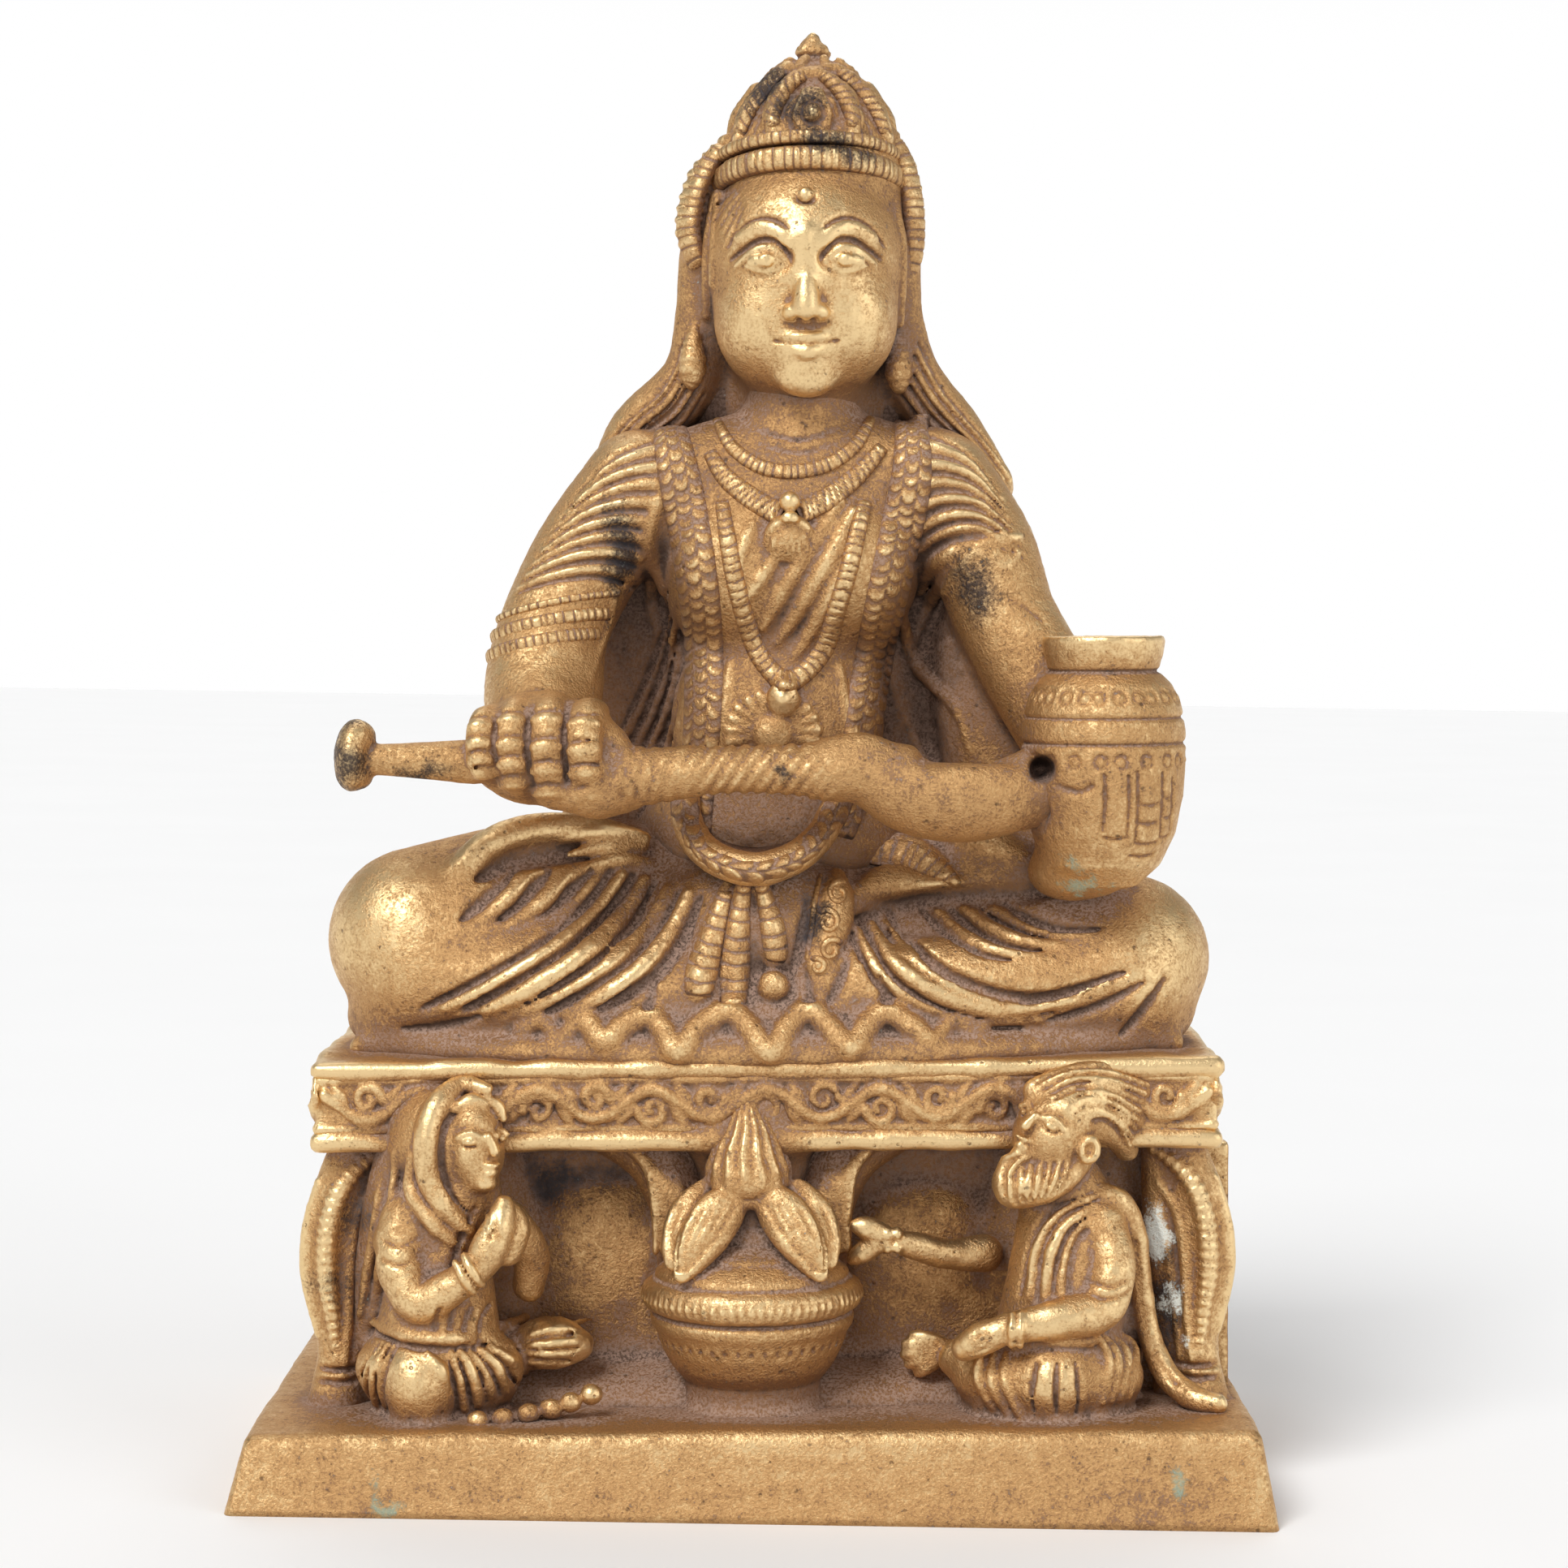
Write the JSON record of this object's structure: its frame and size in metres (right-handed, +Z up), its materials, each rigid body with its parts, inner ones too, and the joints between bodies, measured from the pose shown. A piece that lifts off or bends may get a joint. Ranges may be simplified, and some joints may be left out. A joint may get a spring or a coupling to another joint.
{
  "type": "annapurna statue",
  "caption": "Cast brass table idol of a seated goddess holding a ladle and a pot, on a low throne with relief figures and a plinth.",
  "frame": {"origin": "middle of the plinth's underside", "axes": "+Z up, the goddess faces -Y, her left hand with the pot is towards +X"},
  "size_m": [0.1041, 0.0618, 0.1514],
  "materials": {
    "aged_brass": "hand-finished sand casting, polished on the high forms, brown patina and dust in the recesses"
  },
  "bodies": {
    "root": {"annapurna_statue": "aged_brass"}
  },
  "joints": []
}
